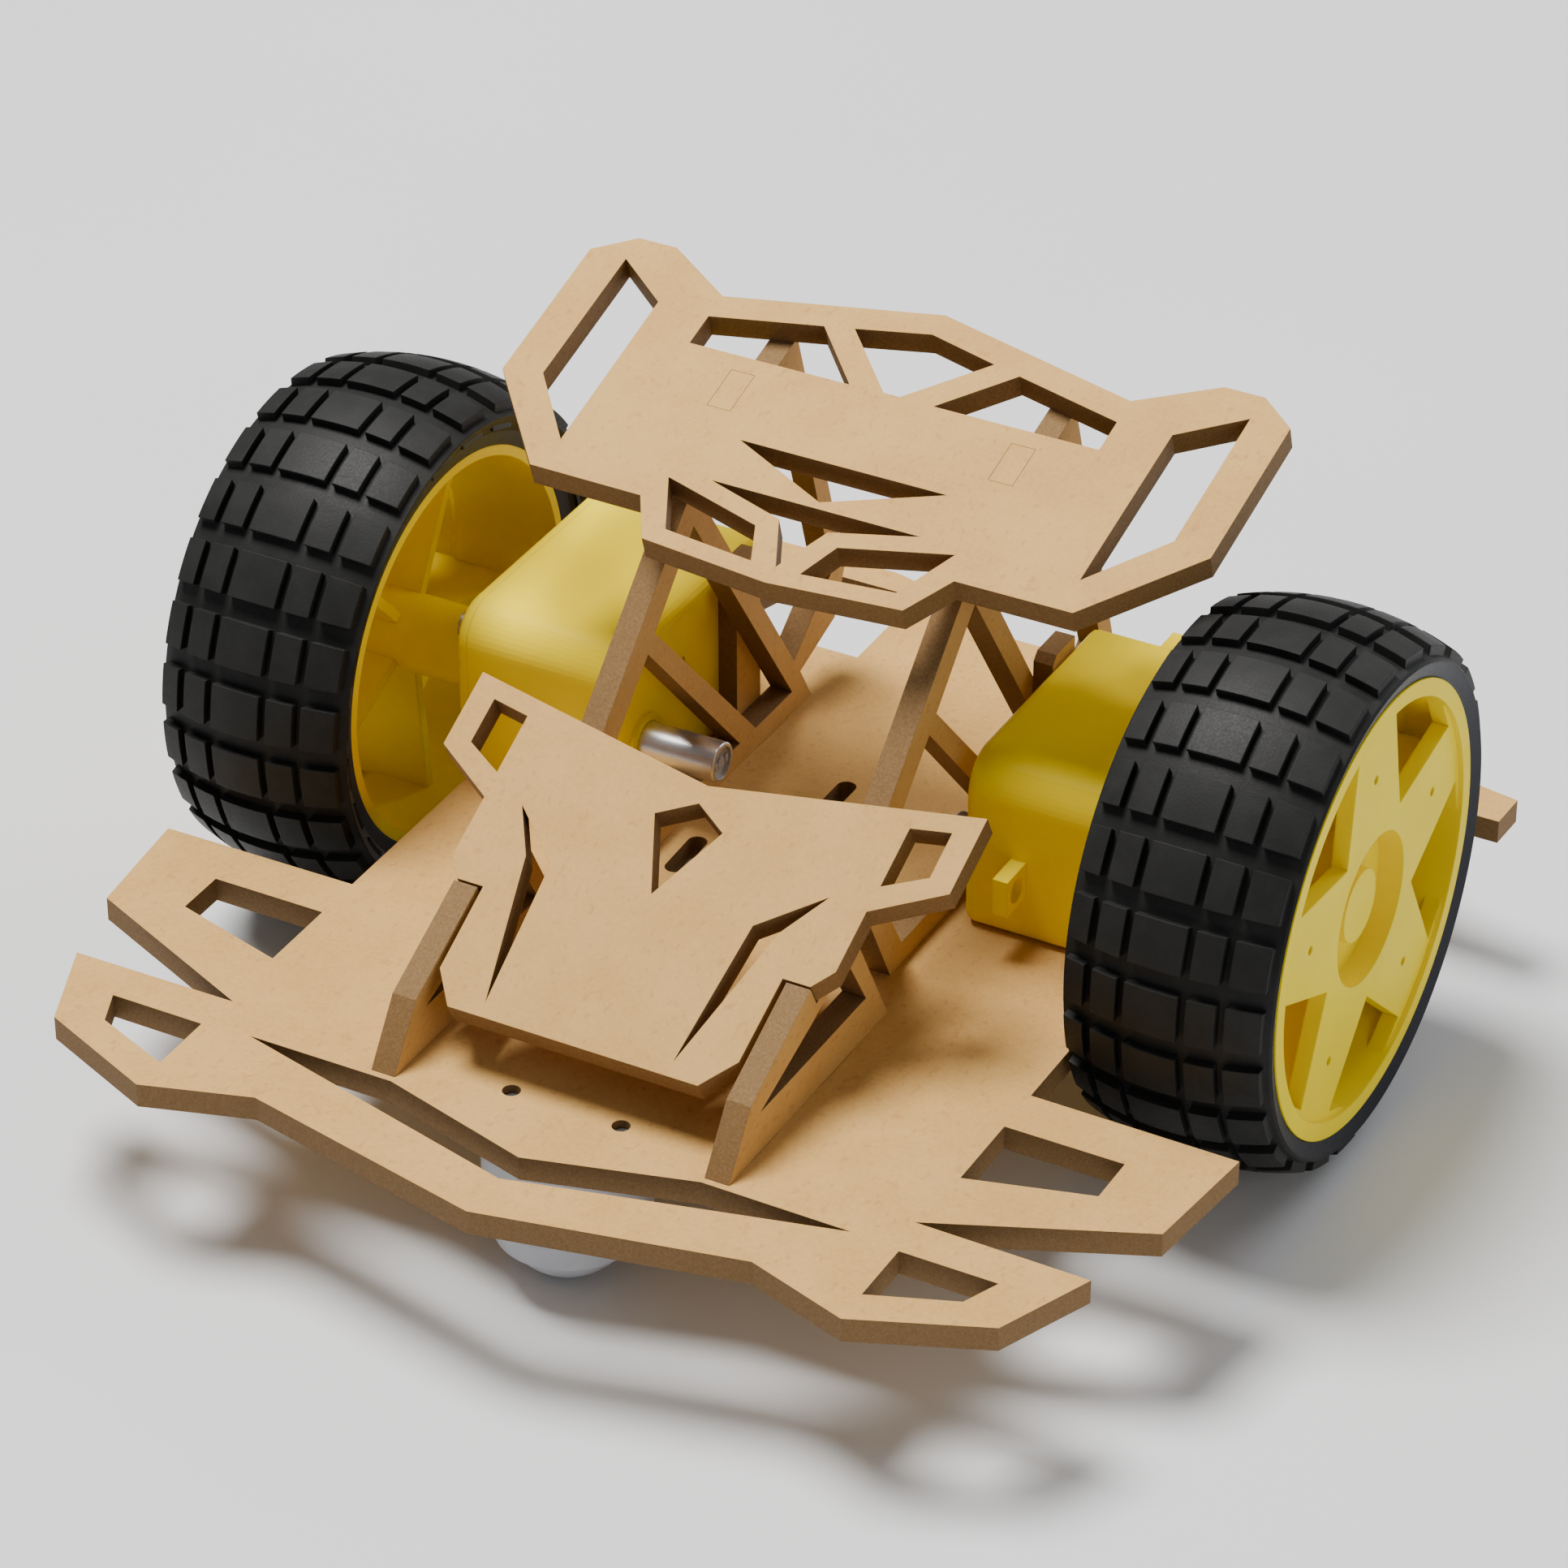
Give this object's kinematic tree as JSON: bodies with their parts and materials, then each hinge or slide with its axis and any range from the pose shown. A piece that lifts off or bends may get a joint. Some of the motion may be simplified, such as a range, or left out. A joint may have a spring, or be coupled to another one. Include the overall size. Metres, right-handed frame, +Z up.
{
  "type": "two wheel robot chassis",
  "caption": "Laser-cut robot car chassis with two geared drive wheels, a front ball caster, a sloping hood and a rear wing.",
  "frame": {"origin": "on the ground, under the middle of the object's bounding box", "axes": "+Z up, -Y towards the front bumper, +X to the right seen along +Y, along the wheel axle"},
  "size_m": [0.1422, 0.1394, 0.0768],
  "materials": {
    "mdf": "matte",
    "yellow_plastic": "satin",
    "white_plastic": "satin",
    "motor_steel": "brushed",
    "cap_plastic": "satin",
    "screw_steel": "satin",
    "tyre_rubber": "matte",
    "grey_plastic": "satin",
    "ball_plastic": "satin"
  },
  "bodies": {
    "chassis": {"base_plate": "mdf", "hood_panel": "mdf", "hood_bracket_left": "mdf", "hood_bracket_right": "mdf", "wing_plate": "mdf", "truss_left": "mdf", "truss_right": "mdf", "spacer_left": "mdf", "spacer_right": "mdf", "gearbox_case_left": "yellow_plastic", "gearbox_case_right": "yellow_plastic", "gearbox_lid_left": "yellow_plastic", "gearbox_lid_right": "yellow_plastic", "bearing_plate_left": "white_plastic", "bearing_plate_right": "white_plastic", "motor_can_left": "motor_steel", "motor_can_right": "motor_steel", "motor_cap_left": "cap_plastic", "motor_cap_right": "cap_plastic", "idler_pins_left": "screw_steel", "idler_pins_right": "screw_steel", "lid_screws": "screw_steel", "gearbox_screws": "screw_steel", "caster_housing": "grey_plastic", "caster_screws": "screw_steel"},
    "wheel_left": {"wheel_rim_left": "yellow_plastic", "tyre_left": "tyre_rubber", "output_gear_left": "white_plastic"},
    "second_idler_left": {"second_idler_left": "white_plastic"},
    "first_idler_left": {"first_idler_left": "white_plastic"},
    "rotor_left": {"motor_rotor_left": "screw_steel"},
    "wheel_right": {"wheel_rim_right": "yellow_plastic", "tyre_right": "tyre_rubber", "output_gear_right": "white_plastic"},
    "second_idler_right": {"second_idler_right": "white_plastic"},
    "first_idler_right": {"first_idler_right": "white_plastic"},
    "rotor_right": {"motor_rotor_right": "screw_steel"},
    "ball": {"caster_ball": "ball_plastic"}
  },
  "joints": [
    {"name": "wheel_left_spin", "type": "hinge", "parent": "chassis", "child": "wheel_left", "pos_m": [-0.0586, 0.01335, 0.0325], "axis": [1, 0, 0], "continuous": true},
    {"name": "second_idler_left_spin", "type": "hinge", "parent": "chassis", "child": "second_idler_left", "pos_m": [-0.032, 0.02055, 0.0325], "axis": [1, 0, 0], "continuous": true},
    {"name": "first_idler_left_spin", "type": "hinge", "parent": "chassis", "child": "first_idler_left", "pos_m": [-0.029, 0.01335, 0.0325], "axis": [1, 0, 0], "continuous": true},
    {"name": "rotor_left_spin", "type": "hinge", "parent": "chassis", "child": "rotor_left", "pos_m": [-0.023, 0.00796, 0.03065], "axis": [1, 0, 0], "continuous": true},
    {"name": "wheel_right_spin", "type": "hinge", "parent": "chassis", "child": "wheel_right", "pos_m": [0.0586, 0.01335, 0.0325], "axis": [1, 0, 0], "continuous": true},
    {"name": "second_idler_right_spin", "type": "hinge", "parent": "chassis", "child": "second_idler_right", "pos_m": [0.036, 0.02055, 0.0325], "axis": [1, 0, 0], "continuous": true},
    {"name": "first_idler_right_spin", "type": "hinge", "parent": "chassis", "child": "first_idler_right", "pos_m": [0.033, 0.01335, 0.0325], "axis": [1, 0, 0], "continuous": true},
    {"name": "rotor_right_spin", "type": "hinge", "parent": "chassis", "child": "rotor_right", "pos_m": [0.027, 0.00796, 0.03065], "axis": [1, 0, 0], "continuous": true},
    {"name": "ball_roll", "type": "hinge", "parent": "chassis", "child": "ball", "pos_m": [0.002, -0.04845, 0.00795], "axis": [1, 0, 0], "continuous": true}
  ],
  "couplings": [
    {"joint": "second_idler_left_spin", "follows": "wheel_left_spin", "ratio": -3.5},
    {"joint": "first_idler_left_spin", "follows": "wheel_left_spin", "ratio": 12.25},
    {"joint": "rotor_left_spin", "follows": "wheel_left_spin", "ratio": -45.938},
    {"joint": "second_idler_right_spin", "follows": "wheel_right_spin", "ratio": -3.5},
    {"joint": "first_idler_right_spin", "follows": "wheel_right_spin", "ratio": 12.25},
    {"joint": "rotor_right_spin", "follows": "wheel_right_spin", "ratio": -45.938}
  ]
}
